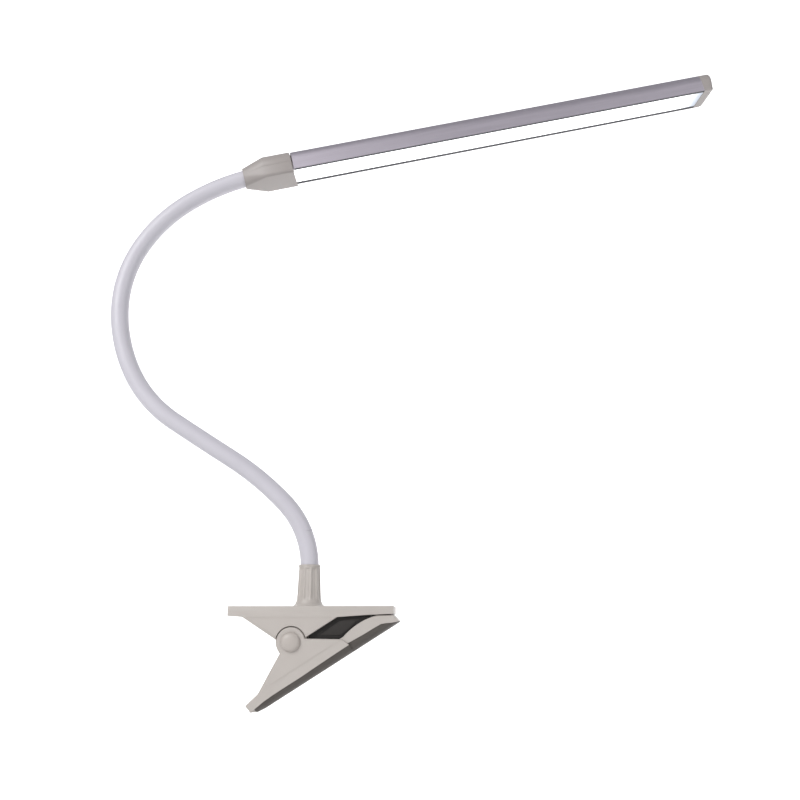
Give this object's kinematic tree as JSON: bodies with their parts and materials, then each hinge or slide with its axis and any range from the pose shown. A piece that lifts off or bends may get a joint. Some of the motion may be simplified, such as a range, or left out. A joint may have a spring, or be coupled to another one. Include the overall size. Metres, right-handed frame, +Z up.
{
  "type": "clip on reading lamp",
  "caption": "Slim LED bar reading lamp on a bendable gooseneck arm, held by a sprung plastic clip that grips a shelf or table edge.",
  "frame": {"origin": "middle of the upper jaw's gripping face, on the mid-plane of the clip", "axes": "+Z up from the gripping face, +X along the jaws and out of their mouth, +Y to the lamp's back"},
  "size_m": [0.3663, 0.0556, 0.3885],
  "materials": {
    "grey_abs": "satin moulded ABS, warm light grey",
    "cap_abs": "satin moulded ABS",
    "housing_abs": "satin moulded ABS, warm grey",
    "pad_rubber": "matt dark grey rubber",
    "grommet_rubber": "matt rubber",
    "steel": "zinc plated",
    "spring_steel": "blackened spring wire",
    "core_steel": "wound steel",
    "brass": "turned brass",
    "sleeve_pvc": "satin extruded PVC sleeve",
    "lead_pvc": "PVC insulation",
    "anodised_bar": "satin anodised",
    "opal_diffuser": "opal polycarbonate, lit",
    "board_white": "white solder mask",
    "led_package": "phosphor LED packages",
    "connector_nylon": "nylon"
  },
  "bodies": {
    "clip": {"upper_arm": "grey_abs", "pivot_pin": "steel", "pin_cap_front": "cap_abs", "pin_cap_rear": "cap_abs", "upper_jaw_pad": "pad_rubber", "torsion_spring": "spring_steel", "neck_ferrule": "brass", "plate_washer": "steel", "plate_nut": "steel", "cord_grommet": "grommet_rubber", "sleeve_link_1": "sleeve_pvc", "core_link_1": "core_steel", "lead_link_1": "lead_pvc"},
    "lower_jaw": {"lower_arm": "grey_abs", "lower_jaw_pad": "pad_rubber"},
    "neck_2": {"sleeve_link_2": "sleeve_pvc", "core_link_2": "core_steel", "lead_link_2": "lead_pvc"},
    "neck_3": {"sleeve_link_3": "sleeve_pvc", "core_link_3": "core_steel", "lead_link_3": "lead_pvc"},
    "neck_4": {"sleeve_link_4": "sleeve_pvc", "core_link_4": "core_steel", "lead_link_4": "lead_pvc"},
    "neck_5": {"sleeve_link_5": "sleeve_pvc", "core_link_5": "core_steel", "lead_link_5": "lead_pvc"},
    "neck_6": {"sleeve_link_6": "sleeve_pvc", "core_link_6": "core_steel", "lead_link_6": "lead_pvc"},
    "neck_7": {"sleeve_link_7": "sleeve_pvc", "core_link_7": "core_steel", "lead_link_7": "lead_pvc"},
    "head": {"sleeve_link_8": "sleeve_pvc", "core_link_8": "core_steel", "lead_link_8": "lead_pvc", "head_ferrule": "brass", "neck_shell_upper": "housing_abs", "neck_shell_lower": "housing_abs", "neck_screws": "steel", "bar_extrusion": "anodised_bar", "diffuser": "opal_diffuser", "led_board": "board_white", "led_chips": "led_package", "board_connector": "connector_nylon", "head_lead": "lead_pvc", "end_cap": "housing_abs"}
  },
  "joints": [
    {"name": "clip_hinge", "type": "hinge", "parent": "clip", "child": "lower_jaw", "pos_m": [-0.0475, 0, -0.01375], "axis": [0, 1, 0], "range_deg": [0, 45], "stiffness_Nm_per_rad": 0.45, "springref_deg": -85.94, "deforming": ["torsion_spring"]},
    {"name": "neck_bend_1", "type": "hinge", "parent": "clip", "child": "neck_2", "pos_m": [-0.05491, -0.0015, 0.06048], "axis": [-0.1045, 0.9945, 0], "range_deg": [-15, 15]},
    {"name": "neck_sway_2", "type": "hinge", "parent": "neck_2", "child": "neck_3", "pos_m": [-0.08521, -0.00469, 0.08515], "axis": [0.527, 0.0554, 0.848], "range_deg": [-15, 15]},
    {"name": "neck_bend_3", "type": "hinge", "parent": "neck_3", "child": "neck_4", "pos_m": [-0.11818, -0.00815, 0.10627], "axis": [-0.1045, 0.9945, 0], "range_deg": [-15, 15]},
    {"name": "neck_sway_4", "type": "hinge", "parent": "neck_4", "child": "neck_5", "pos_m": [-0.14376, -0.01084, 0.13534], "axis": [0.8939, 0.0939, 0.4384], "range_deg": [-15, 15]},
    {"name": "neck_bend_5", "type": "hinge", "parent": "neck_5", "child": "neck_6", "pos_m": [-0.15281, -0.01179, 0.17325], "axis": [-0.1045, 0.9945, 0], "range_deg": [-15, 15]},
    {"name": "neck_sway_6", "type": "hinge", "parent": "neck_6", "child": "neck_7", "pos_m": [-0.14346, -0.01081, 0.21095], "axis": [0.8698, 0.0914, -0.4848], "range_deg": [-15, 15]},
    {"name": "neck_bend_7", "type": "hinge", "parent": "neck_7", "child": "head", "pos_m": [-0.11777, -0.00811, 0.24015], "axis": [-0.1045, 0.9945, 0], "range_deg": [-15, 15]}
  ]
}
